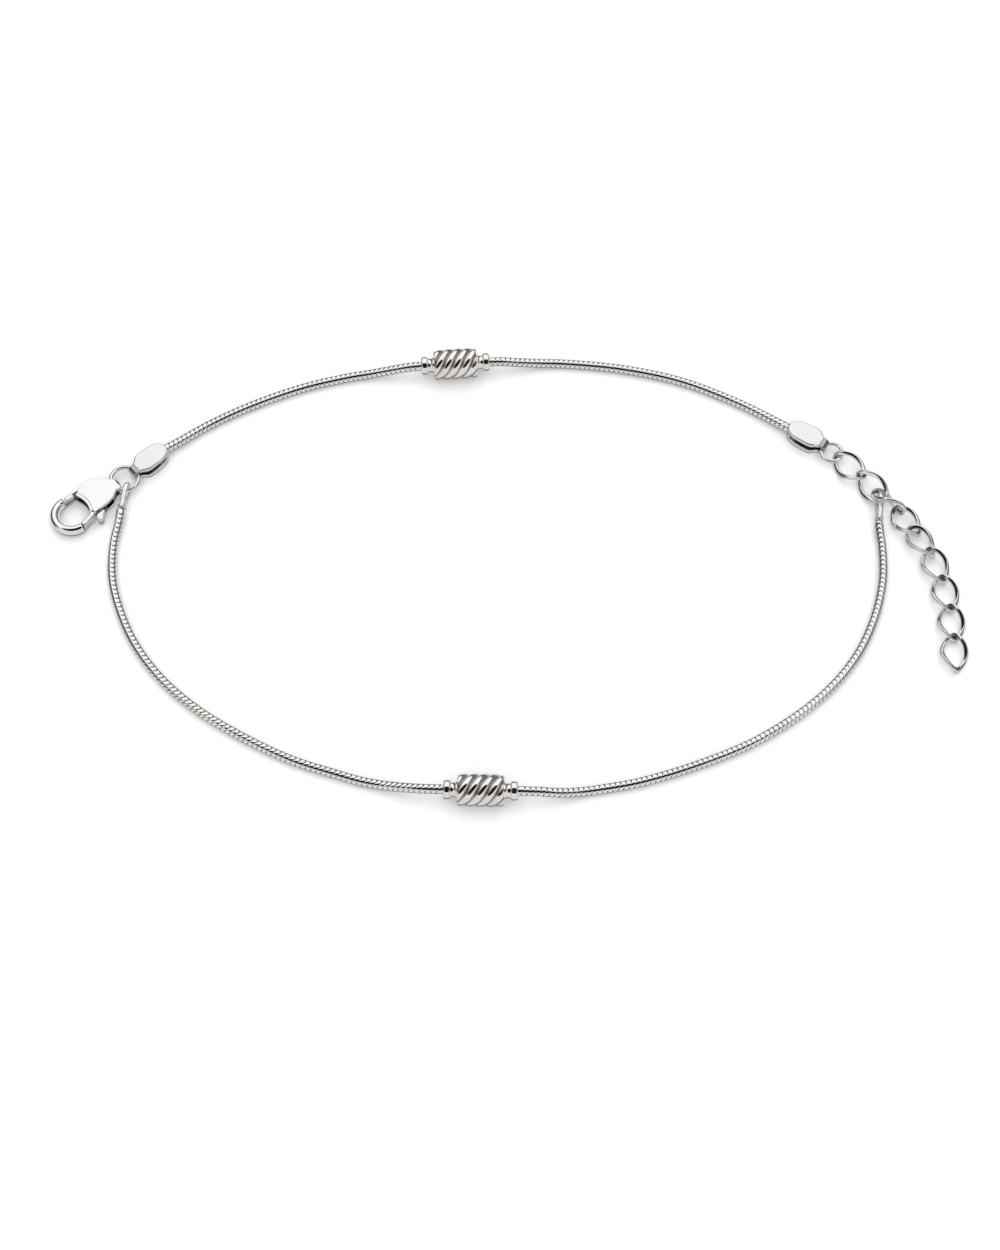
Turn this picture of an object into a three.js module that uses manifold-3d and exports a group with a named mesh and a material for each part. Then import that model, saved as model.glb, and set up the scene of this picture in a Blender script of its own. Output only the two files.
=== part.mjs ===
// Two-strand snake chain bracelet with a lobster clasp and an extender, lying open on a table.
// Millimetres and degrees. +X is right, +Y is towards the rear strand, +Z is up.
// The bracelet lies on Z = 0 and the middle of its outline is the origin.
import * as THREE from 'three';
import { mergeVertices } from 'three/addons/utils/BufferGeometryUtils.js';
import Module from 'manifold-3d';

const wasm = await Module();
wasm.setup();

// ---- Driving dimensions -------------------------------------------------------------------

// Everything that is threaded on a ring is threaded at this height
const threadHeight = 1.15;
const threadClearance = 0.12;
const cutterDepth = 20;

// Slabs that are joined run this far into each other
const overlap = 0.1;

const chain = { diameter: 1.35, sides: 8, step: 3.4 };

const bead = {
  barrelLength: 6.3,
  barrelRadius: 2.25,
  barrelBulge: 0.12,
  ridgeHeight: 0.3,
  ridges: 5,
  ridgePitch: 1.395,
  neckLength: 0.9,
  neckRadius: 1.02,
  flangeLength: 0.95,
  flangeRadius: 1.32,
  boreRadius: 0.95,
};

const leftRing = { x: -54.08, y: 15.45, radius: 1.98, wire: 0.66 };
const rightRing = { x: 48.09, y: 19.97, radius: 1.5, wire: 0.56 };

const link = { halfLength: 2.7, halfWidth: 1.66, wire: 0.56, twist: -42, sides: 8, segments: 28 };

const tag = {
  length: 5.6,
  height: 2.3,
  plate: 0.42,
  slitDepth: 0.35,
  eyeRadius: 0.82,
  eyeTop: 1.95,
  shoulder: 1.4,
  chainPocket: 0.95,
  pocketStart: 3.4,
};

const endLoop = {
  thickness: 0.56,
  height: 2.1,
  wire: 0.44,
  shoulder: 0.7,
  collarRadius: 0.62,
  collarLength: 0.9,
  lean: 20,
};

const clasp = {
  x: -61.12,
  y: 9.2,
  heading: 39.5,
  hookRadius: 2.545,
  hookWidth: 1.3,
  hookHeight: 1.8,
  height: 2.3,
  plate: 0.3,
  slotBottom: 0.65,
  slotTop: 1.65,
  pivotX: 4.8,
  pivotY: 0.8,
  pinRadius: 0.4,
  pinHole: 0.48,
  gateReach: 4.65,
  tipGap: 0.15,
};

const lever = {
  bottom: 0.75,
  top: 1.55,
  hub: 1.0,
  gateInner: 2.1,
  gateOuter: 2.85,
  gateRoot: 1.9,
  gateBottom: 0.4,
  gateTop: 1.9,
  tabBottom: 0.5,
  tabTop: 1.8,
};

// ---- Where things lie ---------------------------------------------------------------------

// A tag's place is its eye, and its heading points from the eye to its chain
const leftTag = { x: -52.55, y: 16.7, heading: 43 };
const rightTag = { x: 46.8, y: 21.2, heading: 148 };

// An end loop's place is where it hangs on its ring or link, and its length runs to its chain
const frontLeftLoop = { x: -53.65, y: 13.68, z: threadHeight, heading: 260.4, length: 3.3 };
const frontRightLoop = { x: 54.4, y: 11.96, z: 1.22, heading: 265.5, length: 3.55 };

const rearBead = { x: -6.6, y: 34.8, heading: 4.3 };
const frontBead = { x: -2.6, y: -34.54, heading: -1.3 };

// Extender links from the right ring on: middle x, y, z, then heading, climb and roll
const linkPlaces = [
  [50.48, 17.44, 1.28, -45.9, 3.4, 17],
  [53.38, 13.96, 1.53, -48.0, -6.0, 38],
  [55.7, 11.38, 1.68, -45.1, 9.5, -56],
  [57.94, 8.19, 1.19, -57.6, 4.9, 2],
  [59.86, 4.82, 1.18, -58.7, 0, -11],
  [61.52, 0.98, 1.1, -72.8, -2.5, 0],
  [62.57, -3.5, 0.95, -80.7, -1.2, 0],
  [63.0, -8.15, 0.87, -88.8, 0, 0],
  [63.0, -12.85, 0.87, -91.2, 0, 0],
];

// ---- Chain routes: x, y and the height of the chain's middle -------------------------------

const rearLeftRoute = [
  [-49.8, 19.34, 1.15],
  [-48.6, 20.45, 1.15],
  [-46.9, 21.7, 1.0],
  [-42.4, 25.0, 0.75],
  [-36.7, 28.2, 0.75],
  [-29.0, 31.5, 0.75],
  [-22.2, 33.4, 0.75],
  [-19.2, 33.85, 0.95],
  [-16.3, 34.1, 1.5],
  [-13.3, 34.3, 2.1],
  [-10.1, 34.54, 2.25],
];

const rearRightRoute = [
  [-3.1, 35.06, 2.25],
  [0.1, 35.3, 2.1],
  [3.0, 35.55, 1.5],
  [6.0, 35.8, 0.95],
  [9.0, 35.85, 0.75],
  [17.8, 34.9, 0.75],
  [26.6, 32.7, 0.75],
  [35.2, 28.7, 0.75],
  [40.8, 25.1, 1.0],
  [42.3, 24.05, 1.15],
  [43.6, 23.2, 1.15],
];

const frontLeftRoute = [
  [-54.24, 10.17, 1.15],
  [-54.45, 8.2, 1.0],
  [-54.97, 4.4, 0.75],
  [-54.7, -0.9, 0.75],
  [-53.4, -5.7, 0.75],
  [-50.7, -11.6, 0.75],
  [-46.6, -17.1, 0.75],
  [-41.5, -21.7, 0.75],
  [-35.4, -25.7, 0.75],
  [-28.4, -29.3, 0.75],
  [-21.8, -31.6, 0.75],
  [-18.9, -32.5, 0.75],
  [-16.2, -33.15, 0.95],
  [-13.5, -33.75, 1.5],
  [-10.6, -34.25, 2.1],
  [-6.1, -34.46, 2.25],
];

const frontRightRoute = [
  [0.9, -34.62, 2.25],
  [5.4, -34.7, 2.1],
  [8.2, -34.6, 1.5],
  [10.9, -34.2, 0.95],
  [13.5, -33.75, 0.75],
  [18.9, -32.7, 0.75],
  [27.1, -30.0, 0.75],
  [35.4, -26.2, 0.75],
  [43.7, -20.2, 0.75],
  [49.1, -14.0, 0.75],
  [52.3, -7.6, 0.75],
  [54.0, -1.2, 0.75],
  [54.3, 3.8, 0.75],
  [54.15, 6.4, 0.95],
  [54.03, 8.11, 1.15],
];

// ---- Solids -------------------------------------------------------------------------------

function toSolid(geometry) {
  const bare = geometry.clone();
  bare.deleteAttribute('normal');
  bare.deleteAttribute('uv');
  const merged = mergeVertices(bare, 1e-5);
  const triangles = [];
  const index = merged.index.array;
  for (let i = 0; i < index.length; i += 3) {
    const [a, b, c] = [index[i], index[i + 1], index[i + 2]];
    const collapsed = a === b || b === c || c === a;
    if (!collapsed) triangles.push(a, b, c);
  }
  const mesh = new wasm.Mesh({
    numProp: 3,
    vertProperties: Float32Array.from(merged.attributes.position.array),
    triVerts: Uint32Array.from(triangles),
  });
  return new wasm.Manifold(mesh);
}

function toGeometry(solid) {
  const mesh = solid.getMesh();
  const geometry = new THREE.BufferGeometry();
  geometry.setAttribute('position', new THREE.BufferAttribute(mesh.vertProperties, mesh.numProp));
  geometry.setIndex(new THREE.BufferAttribute(mesh.triVerts, 1));
  geometry.computeVertexNormals();
  return geometry;
}

function join(...geometries) {
  const solids = geometries.map(toSolid);
  return solids.reduce((whole, solid) => whole.add(solid));
}

// A closed outline from a list of corners
function outline(corners) {
  return new THREE.Shape(corners.map(([x, y]) => new THREE.Vector2(x, y)));
}

// A flat outline given thickness from one height to another
function slab(shape, bottom, top, curveSegments = 12) {
  const geometry = new THREE.ExtrudeGeometry(shape, {
    depth: top - bottom,
    bevelEnabled: false,
    curveSegments,
  });
  return geometry.translate(0, 0, bottom);
}

// An outline drawn in x and z, given width evenly to both sides of y = 0
function sideSlab(shape, width, curveSegments = 12) {
  const geometry = new THREE.ExtrudeGeometry(shape, {
    depth: width,
    bevelEnabled: false,
    curveSegments,
  });
  return geometry.rotateX(Math.PI / 2).translate(0, width / 2, 0);
}

function upright(x, y, radius, bottom, top, sides = 16) {
  const geometry = new THREE.CylinderGeometry(radius, radius, top - bottom, sides);
  return geometry.rotateX(Math.PI / 2).translate(x, y, (top + bottom) / 2);
}

// A rod along +X
function rod(start, end, radius, height, sides = 12) {
  const geometry = new THREE.CylinderGeometry(radius, radius, end - start, sides);
  return geometry.rotateZ(Math.PI / 2).translate((start + end) / 2, 0, height);
}

function ringGeometry(ring) {
  return new THREE.TorusGeometry(ring.radius, ring.wire / 2, 8, 32);
}

// The ring's own shape with its clearance, seen from a turned piece that is threaded on it
function ringTunnel(ring, place) {
  const tube = ring.wire / 2 + threadClearance;
  const centre = new THREE.Vector3(ring.x - place.x, ring.y - place.y, threadHeight);
  centre.applyAxisAngle(new THREE.Vector3(0, 0, 1), -THREE.MathUtils.degToRad(place.heading));
  const geometry = new THREE.TorusGeometry(ring.radius, tube, 10, 40);
  return toSolid(geometry.translate(centre.x, centre.y, centre.z));
}

// ---- Chain --------------------------------------------------------------------------------

function chainSection() {
  const corner = chain.diameter / 2 * 1.04;
  const corners = [];
  for (let side = 0; side < chain.sides; side += 1) {
    const angle = (side + 0.5) * 2 * Math.PI / chain.sides;
    corners.push([corner * Math.cos(angle), corner * Math.sin(angle)]);
  }
  return outline(corners);
}

function chainGeometry(route) {
  const path = new THREE.CatmullRomCurve3(route.map(([x, y, z]) => new THREE.Vector3(x, y, z)));
  return new THREE.ExtrudeGeometry(chainSection(), {
    extrudePath: path,
    steps: Math.round(path.getLength() / chain.step),
    bevelEnabled: false,
  });
}

// ---- Bead ---------------------------------------------------------------------------------

// Half of the bead's outline from its middle to one end: distance along it, radius
function beadEndProfile() {
  const barrelEnd = bead.barrelLength / 2;
  const neckEnd = barrelEnd + bead.neckLength;
  const flangeEnd = neckEnd + bead.flangeLength;
  const rounding = bead.flangeLength * 0.25;
  return [
    [barrelEnd, bead.neckRadius],
    [neckEnd, bead.neckRadius],
    [neckEnd, bead.flangeRadius - rounding],
    [neckEnd + rounding, bead.flangeRadius],
    [flangeEnd - rounding, bead.flangeRadius],
    [flangeEnd, bead.flangeRadius - rounding],
    [flangeEnd, bead.boreRadius],
  ];
}

function barrelProfile(rows) {
  const profile = [];
  for (let row = 0; row <= rows; row += 1) {
    const across = row / rows * 2 - 1;
    const radius = bead.barrelRadius - bead.barrelBulge * across * across;
    profile.push([across * bead.barrelLength / 2, radius]);
  }
  return profile;
}

// Raises rope ridges on the points that lie on the barrel
function twistRidges(geometry) {
  const position = geometry.attributes.position;
  for (let i = 0; i < position.count; i += 1) {
    const x = position.getX(i);
    const z = position.getZ(i);
    const along = position.getY(i);
    const radius = Math.hypot(x, z);
    if (radius < bead.barrelRadius - 2 * bead.barrelBulge) continue;
    const turn = bead.ridges * Math.atan2(z, x) - 2 * Math.PI * along / bead.ridgePitch;
    const groove = 0.5 - 0.5 * Math.cos(turn);
    const scale = 1 - bead.ridgeHeight * groove / radius;
    position.setX(i, x * scale);
    position.setZ(i, z * scale);
  }
  return geometry;
}

// The bead lies along +X, and its bore is closed on itself by the profile's last step
function beadGeometry() {
  const end = beadEndProfile();
  const start = end.map(([along, radius]) => [-along, radius]).reverse();
  const profile = [...start, ...barrelProfile(18), ...end];
  profile.push(profile[0]);
  const points = profile.map(([along, radius]) => new THREE.Vector2(radius, along));
  const geometry = new THREE.LatheGeometry(points, 40);
  return twistRidges(geometry).rotateZ(-Math.PI / 2);
}

// ---- Extender link ------------------------------------------------------------------------

// A wire torus stretched to an oval and twisted about its length, which is +X
function linkGeometry() {
  const geometry = new THREE.TorusGeometry(1, link.wire / 2, link.sides, link.segments);
  const position = geometry.attributes.position;
  for (let i = 0; i < position.count; i += 1) {
    const around = Math.atan2(position.getY(i), position.getX(i));
    const outward = Math.hypot(position.getX(i), position.getY(i)) - 1;
    const normal = new THREE.Vector2(
      link.halfWidth * Math.cos(around),
      link.halfLength * Math.sin(around),
    ).normalize();
    const x = link.halfLength * Math.cos(around) + outward * normal.x;
    const y = link.halfWidth * Math.sin(around) + outward * normal.y;
    const z = position.getZ(i);
    const roll = THREE.MathUtils.degToRad(link.twist) * x / link.halfLength;
    position.setXYZ(i, x, y * Math.cos(roll) - z * Math.sin(roll), y * Math.sin(roll) + z * Math.cos(roll));
  }
  geometry.computeVertexNormals();
  return geometry;
}

// ---- Folded end tag -----------------------------------------------------------------------

// Seen from above: x runs from the eye to the chain. Inset draws the core inside the slit.
function tagPlan(inset) {
  const corners = [
    [-1.0, 0.86],
    [0.1, 0.92],
    [0.5, 1.05],
    [1.2, 1.57],
    [1.7, 1.65],
    [3.5, 1.6],
    [4.67, 1.33],
    [5.3, 0.88],
    [tag.length, 0.35],
  ];
  const upper = corners.map(([x, y]) => [x - (x > 4 ? inset : 0), Math.max(y - inset, 0.1)]);
  const lower = upper.map(([x, y]) => [x, -y]).reverse();
  return outline([...upper, ...lower]);
}

// Seen from the side: the fold round the ring, then both plates in one outline
function tagSide() {
  const shape = new THREE.Shape();
  const eyeBottom = 2 * threadHeight - tag.eyeTop;
  shape.moveTo(0, eyeBottom);
  shape.lineTo(tag.shoulder, 0);
  shape.lineTo(tag.length, 0);
  shape.lineTo(tag.length, tag.height);
  shape.lineTo(tag.shoulder, tag.height);
  shape.lineTo(0, tag.eyeTop);
  shape.absarc(0, threadHeight, tag.eyeRadius, Math.PI / 2, 3 * Math.PI / 2, false);
  return shape;
}

function tagGeometry(place, ring) {
  const whole = toSolid(slab(tagPlan(0), -1, tag.height + 1)).intersect(toSolid(sideSlab(tagSide(), 5)));
  const opened = outline([[0.9, -3], [8, -3], [8, 3], [0.9, 3]]);
  const between = toSolid(slab(opened, tag.plate, tag.height - tag.plate));
  const slit = between.subtract(toSolid(slab(tagPlan(tag.slitDepth), 0, tag.height)));
  const pocket = toSolid(rod(tag.pocketStart, tag.length + 1, tag.chainPocket, threadHeight));
  return toGeometry(whole.subtract(slit).subtract(pocket).subtract(ringTunnel(ring, place)));
}

// ---- Front strand's end loops ---------------------------------------------------------------

// An upright plate with a long eye, and a round collar where the chain is soldered on.
// It hangs at the origin and runs along +X.
function endLoopGeometry(length) {
  const outer = endLoop.height / 2;
  const inner = outer - endLoop.wire;
  const collarStart = length - endLoop.collarLength;
  const eyeEnd = collarStart - endLoop.shoulder;
  const rootHalf = endLoop.collarRadius * 0.7;
  const shape = new THREE.Shape();
  shape.moveTo(0, outer);
  shape.absarc(0, 0, outer, Math.PI / 2, 3 * Math.PI / 2, false);
  shape.lineTo(eyeEnd, -outer);
  shape.lineTo(collarStart + endLoop.wire / 2, -rootHalf);
  shape.lineTo(collarStart + endLoop.wire / 2, rootHalf);
  shape.lineTo(eyeEnd, outer);
  const eye = new THREE.Path();
  eye.moveTo(0, inner);
  eye.absarc(0, 0, inner, Math.PI / 2, 3 * Math.PI / 2, false);
  eye.absarc(eyeEnd, 0, inner, -Math.PI / 2, Math.PI / 2, false);
  shape.holes.push(eye);
  const plate = sideSlab(shape, endLoop.thickness, 8);
  return toGeometry(join(plate, rod(collarStart, length, endLoop.collarRadius, 0)));
}

// ---- Clasp ----------------------------------------------------------------------------------

// In the clasp's own frame the hook's opening is round the origin and the neck points along +X.

class ArcPath extends THREE.Curve {
  constructor(radius, from, to, height) {
    super();
    Object.assign(this, { radius, from, to, height });
  }

  getPoint(t) {
    const angle = THREE.MathUtils.degToRad(this.from + (this.to - this.from) * t);
    return new THREE.Vector3(this.radius * Math.cos(angle), this.radius * Math.sin(angle), this.height);
  }
}

// The narrow end round the ring, shared by the plates and the walls between them
const claspNeck = [
  [7.1, -0.97],
  [7.9, -0.9],
  [8.3, -0.3],
  [8.35, 0.6],
  [8.1, 0.99],
  [7.45, 1.1],
  [7.2, 1.45],
  [5.9, 2.5],
  [5.1, 2.8],
];

// The edge that faces the hook is a hollow arc round this point
const hollow = { x: -1.35, y: 0.27, halfWidth: 1.86 };

function claspPlan(edge) {
  const angle = Math.asin(hollow.halfWidth / edge.radius);
  const shape = new THREE.Shape();
  shape.moveTo(3.1, 2.87);
  shape.lineTo(edge.tipX, edge.tipY);
  shape.absarc(hollow.x, hollow.y, edge.radius, angle, -angle, true);
  const front = [[2.55, -2.2], [3.7, -2.15], [5.1, -2.0], [6.05, -1.75]];
  [...front, ...claspNeck].forEach(([x, y]) => shape.lineTo(x, y));
  return shape;
}

const plateEdge = { radius: 4.3, tipX: 2.6, tipY: 2.2 };
const frameEdge = { radius: 3.95, tipX: 2.4, tipY: 2.25 };

// The walls between the plates, which leave the lever its room
const leverWall = [[4.5, 2.8], [4.7, 2.45], [5.6, 2.0], [6.1, 1.2], [6.1, -1.7], ...claspNeck];

const hookArm = [
  [-0.1, -2.1],
  [1.0, -1.95],
  [1.9, -1.75],
  [2.2, -1.3],
  [3.05, -1.0],
  [3.05, -1.95],
  [2.55, -2.2],
  [2.2, -2.35],
  [1.1, -2.68],
  [0.1, -2.95],
  [-0.1, -2.95],
];

// The hook's tip is cut to the circle that the gate's tip swings on
function hookSolid() {
  const section = new THREE.Shape();
  section.absellipse(0, 0, clasp.hookHeight / 2, clasp.hookWidth / 2, 0, 2 * Math.PI, false, 0);
  const geometry = new THREE.ExtrudeGeometry(section, {
    extrudePath: new ArcPath(clasp.hookRadius, 62, 272, threadHeight),
    steps: 26,
    curveSegments: 6,
    bevelEnabled: false,
  });
  const swing = clasp.gateReach + clasp.tipGap;
  const cutter = upright(clasp.pivotX, clasp.pivotY, swing, -cutterDepth, cutterDepth, 64);
  return toSolid(geometry).subtract(toSolid(cutter));
}

function claspBodyGeometry() {
  const { height, plate, slotBottom, slotTop, pivotX, pivotY, pinRadius } = clasp;
  const body = join(
    slab(claspPlan(plateEdge), 0, slotBottom),
    slab(claspPlan(frameEdge), plate, slotBottom),
    slab(claspPlan(frameEdge), slotTop, height - plate),
    slab(claspPlan(plateEdge), slotTop, height),
    slab(outline(leverWall), slotBottom - overlap, slotTop + overlap),
    slab(outline(hookArm), plate, height - plate),
    upright(pivotX, pivotY, pinRadius, plate, height - plate),
  );
  return toGeometry(body.add(hookSolid()).subtract(ringTunnel(leftRing, clasp)));
}

// The gate's end lies on the circle that it swings on
function gateEnd(y) {
  return [clasp.pivotX - Math.sqrt(clasp.gateReach ** 2 - (y - clasp.pivotY) ** 2), y];
}

// The thumb tab from the body's front edge round to where it meets the lever's back
const thumbTab = [[2.5, -2.55], [2.4, -3.1], [2.55, -3.42], [2.85, -3.52], [3.1, -3.4], [3.35, -3.1]];
const tabRoot = [4.0, -2.5];

// The lever's outline round its pivot: gate to the left, thumb tab to the front
function leverPlan() {
  const { pivotX, pivotY } = clasp;
  const gateInside = [gateEnd(lever.gateInner), [1.8, lever.gateInner], [2.4, 1.95], [3.2, 1.3]];
  const arm = [[3.5, 0.6], [3.4, -0.5], [3.3, -2.0]];
  const back = [tabRoot, [4.6, -2.15], [5.7, 0.38], [pivotX + lever.hub, pivotY], [5.51, 1.51]];
  const gateOutside = [[pivotX, pivotY + lever.hub], [4.4, 1.72], [3.3, 2.85], gateEnd(lever.gateOuter)];
  const shape = outline([...gateInside, ...arm, ...thumbTab, ...back, ...gateOutside]);
  const hole = new THREE.Path();
  hole.absarc(pivotX, pivotY, clasp.pinHole, 0, 2 * Math.PI, true);
  shape.holes.push(hole);
  return shape;
}

function claspLeverGeometry() {
  const { gateInner, gateOuter, gateRoot } = lever;
  const gate = outline([
    gateEnd(gateInner),
    [gateRoot, gateInner],
    [gateRoot, gateOuter],
    gateEnd(gateOuter),
  ]);
  return toGeometry(join(
    slab(leverPlan(), lever.bottom, lever.top, 8),
    slab(gate, lever.gateBottom, lever.gateTop),
    slab(outline([...thumbTab, tabRoot]), lever.tabBottom, lever.tabTop),
  ));
}

// ---- Assembly -------------------------------------------------------------------------------

const bracelet = new THREE.Group();

function addPiece(parent, name, geometry, finish) {
  const material = new THREE.MeshStandardMaterial({ metalness: 1, ...finish });
  const mesh = new THREE.Mesh(geometry, material);
  mesh.name = name;
  parent.add(mesh);
  return mesh;
}

// A group that stands at a place on the table and is turned to its heading
function placeGroup({ x, y, z = 0, heading }) {
  const group = new THREE.Group();
  group.position.set(x, y, z);
  group.rotation.z = THREE.MathUtils.degToRad(heading);
  bracelet.add(group);
  return group;
}

const polishedSilver = { color: 0xe9e7e3, roughness: 0.1 };
const chainSilver = { color: 0xdedbd6, roughness: 0.22 };
const wireSilver = { color: 0xe2dfda, roughness: 0.14 };

function addRing(name, ring) {
  const mesh = addPiece(bracelet, name, ringGeometry(ring), wireSilver);
  mesh.position.set(ring.x, ring.y, threadHeight);
}

function addEndLoop(name, place) {
  const group = placeGroup(place);
  const mesh = addPiece(group, name, endLoopGeometry(place.length), wireSilver);
  mesh.rotation.x = -THREE.MathUtils.degToRad(endLoop.lean);
}

function addBead(name, place) {
  const group = placeGroup({ ...place, z: bead.barrelRadius });
  addPiece(group, name, beadGeometry(), polishedSilver);
}

function addLink([x, y, z, heading, climb, roll], index) {
  const group = placeGroup({ x, y, z, heading });
  const mesh = addPiece(group, `extender_link_${index + 1}`, linkGeometry(), wireSilver);
  mesh.rotation.order = 'YXZ';
  mesh.rotation.x = THREE.MathUtils.degToRad(roll);
  mesh.rotation.y = -THREE.MathUtils.degToRad(climb);
}

const claspGroup = placeGroup(clasp);
addPiece(claspGroup, 'clasp_body', claspBodyGeometry(), polishedSilver);
addPiece(claspGroup, 'clasp_lever', claspLeverGeometry(), polishedSilver);
addRing('left_jump_ring', leftRing);
addPiece(placeGroup(leftTag), 'left_tag', tagGeometry(leftTag, leftRing), polishedSilver);
addPiece(bracelet, 'rear_chain_left', chainGeometry(rearLeftRoute), chainSilver);
addBead('rear_bead', rearBead);
addPiece(bracelet, 'rear_chain_right', chainGeometry(rearRightRoute), chainSilver);
addPiece(placeGroup(rightTag), 'right_tag', tagGeometry(rightTag, rightRing), polishedSilver);
addEndLoop('front_left_end_loop', frontLeftLoop);
addPiece(bracelet, 'front_chain_left', chainGeometry(frontLeftRoute), chainSilver);
addBead('front_bead', frontBead);
addPiece(bracelet, 'front_chain_right', chainGeometry(frontRightRoute), chainSilver);
addEndLoop('front_right_end_loop', frontRightLoop);
addRing('right_jump_ring', rightRing);
linkPlaces.forEach(addLink);

// Centre the outline over the origin with the lowest point at Z = 0
bracelet.updateMatrixWorld(true);
const bounds = new THREE.Box3().setFromObject(bracelet, true);
bracelet.position.set(
  -(bounds.min.x + bounds.max.x) / 2,
  -(bounds.min.y + bounds.max.y) / 2,
  -bounds.min.z,
);

export default bracelet;
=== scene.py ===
"""Looks of the snake chain bracelet: silver pieces, chain links, floor, light and camera."""

import math

import bmesh
import bpy
import numpy as np
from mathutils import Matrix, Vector


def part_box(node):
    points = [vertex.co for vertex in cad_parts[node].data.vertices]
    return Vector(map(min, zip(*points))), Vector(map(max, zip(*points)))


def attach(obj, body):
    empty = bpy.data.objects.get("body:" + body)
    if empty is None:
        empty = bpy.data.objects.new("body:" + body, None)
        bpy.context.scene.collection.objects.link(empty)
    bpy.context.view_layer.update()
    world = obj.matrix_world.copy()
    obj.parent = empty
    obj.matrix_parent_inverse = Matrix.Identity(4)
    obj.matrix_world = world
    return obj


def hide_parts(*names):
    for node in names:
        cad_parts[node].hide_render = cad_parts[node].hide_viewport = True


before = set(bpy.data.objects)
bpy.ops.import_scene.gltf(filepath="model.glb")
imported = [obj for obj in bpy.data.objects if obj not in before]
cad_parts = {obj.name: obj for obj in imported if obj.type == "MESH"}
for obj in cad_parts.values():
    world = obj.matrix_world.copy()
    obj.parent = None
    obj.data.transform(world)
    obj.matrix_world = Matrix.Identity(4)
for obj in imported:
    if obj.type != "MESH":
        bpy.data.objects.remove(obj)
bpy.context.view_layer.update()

MM = 0.001

# The layout is in millimetres and degrees, as the CAD model has it

# Middle height of the jump rings, the tags and the clasp
THREAD_Z = 1.15

# Chain routes
REAR_LEFT = [
    (-49.8, 19.34, 1.15), (-48.6, 20.45, 1.15), (-46.9, 21.7, 1.0), (-42.4, 25.0, 0.75),
    (-36.7, 28.2, 0.75), (-29.0, 31.5, 0.75), (-22.2, 33.4, 0.75), (-19.2, 33.85, 0.95),
    (-16.3, 34.1, 1.5), (-13.3, 34.3, 2.1), (-10.1, 34.54, 2.25),
]
REAR_RIGHT = [
    (-3.1, 35.06, 2.25), (0.1, 35.3, 2.1), (3.0, 35.55, 1.5), (6.0, 35.8, 0.95), (9.0, 35.85, 0.75),
    (17.8, 34.9, 0.75), (26.6, 32.7, 0.75), (35.2, 28.7, 0.75), (40.8, 25.1, 1.0),
    (42.3, 24.05, 1.15), (43.6, 23.2, 1.15),
]
FRONT_LEFT = [
    (-54.24, 10.17, 1.15), (-54.45, 8.2, 1.0), (-54.97, 4.4, 0.75), (-54.7, -0.9, 0.75),
    (-53.4, -5.7, 0.75), (-50.7, -11.6, 0.75), (-46.6, -17.1, 0.75), (-41.5, -21.7, 0.75),
    (-35.4, -25.7, 0.75), (-28.4, -29.3, 0.75), (-21.8, -31.6, 0.75), (-18.9, -32.5, 0.75),
    (-16.2, -33.15, 0.95), (-13.5, -33.75, 1.5), (-10.6, -34.25, 2.1), (-6.1, -34.46, 2.25),
]
FRONT_RIGHT = [
    (0.9, -34.62, 2.25), (5.4, -34.7, 2.1), (8.2, -34.6, 1.5), (10.9, -34.2, 0.95),
    (13.5, -33.75, 0.75), (18.9, -32.7, 0.75), (27.1, -30.0, 0.75), (35.4, -26.2, 0.75),
    (43.7, -20.2, 0.75), (49.1, -14.0, 0.75), (52.3, -7.6, 0.75), (54.0, -1.2, 0.75),
    (54.3, 3.8, 0.75), (54.15, 6.4, 0.95), (54.03, 8.11, 1.15),
]

# Places: x, y, heading
CLASP = (-61.12, 9.2, 39.5)
LEFT_TAG = (-52.55, 16.7, 43.0)
RIGHT_TAG = (46.8, 21.2, 148.0)
REAR_BEAD = (-6.6, 34.8, 4.3)
FRONT_BEAD = (-2.6, -34.54, -1.3)

# Jump rings: x, y
LEFT_RING = (-54.08, 15.45)
RIGHT_RING = (48.09, 19.97)

# End loops: x, y, z, heading, length
FRONT_LEFT_LOOP = (-53.65, 13.68, 1.15, 260.4, 3.3)
FRONT_RIGHT_LOOP = (54.4, 11.96, 1.22, 265.5, 3.55)

# Extender links: middle x, y, z, then heading, climb and roll
LINKS = [
    (50.48, 17.44, 1.28, -45.9, 3.4, 17),
    (53.38, 13.96, 1.53, -48.0, -6.0, 38),
    (55.7, 11.38, 1.68, -45.1, 9.5, -56),
    (57.94, 8.19, 1.19, -57.6, 4.9, 2),
    (59.86, 4.82, 1.18, -58.7, 0, -11),
    (61.52, 0.98, 1.1, -72.8, -2.5, 0),
    (62.57, -3.5, 0.95, -80.7, -1.2, 0),
    (63.0, -8.15, 0.87, -88.8, 0, 0),
    (63.0, -12.85, 0.87, -91.2, 0, 0),
]

# Packing centres the model over the origin, and SHIFT is how far that moves the layout, in metres
ring_low, ring_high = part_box("left_jump_ring")
SHIFT = np.array([
    (ring_low[0] + ring_high[0]) / 2 - LEFT_RING[0] * MM,
    (ring_low[1] + ring_high[1]) / 2 - LEFT_RING[1] * MM,
    0.0,
])


# ---- Materials ----------------------------------------------------------------------------


def add_node(tree, kind, **values):
    node = tree.nodes.new(kind)
    for name, value in values.items():
        setattr(node, name, value)
    return node


def noise(tree, coordinates, scale, detail):
    node = add_node(tree, "ShaderNodeTexNoise")
    node.inputs["Scale"].default_value = scale
    node.inputs["Detail"].default_value = detail
    tree.links.new(coordinates, node.inputs["Vector"])
    return node.outputs["Fac"]


def spread(tree, value, low, high):
    """The middle of a noise's range, spread from low to high."""
    node = add_node(tree, "ShaderNodeMapRange")
    node.inputs["From Min"].default_value = 0.35
    node.inputs["From Max"].default_value = 0.65
    node.inputs["To Min"].default_value = low
    node.inputs["To Max"].default_value = high
    tree.links.new(value, node.inputs["Value"])
    return node.outputs["Result"]


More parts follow.
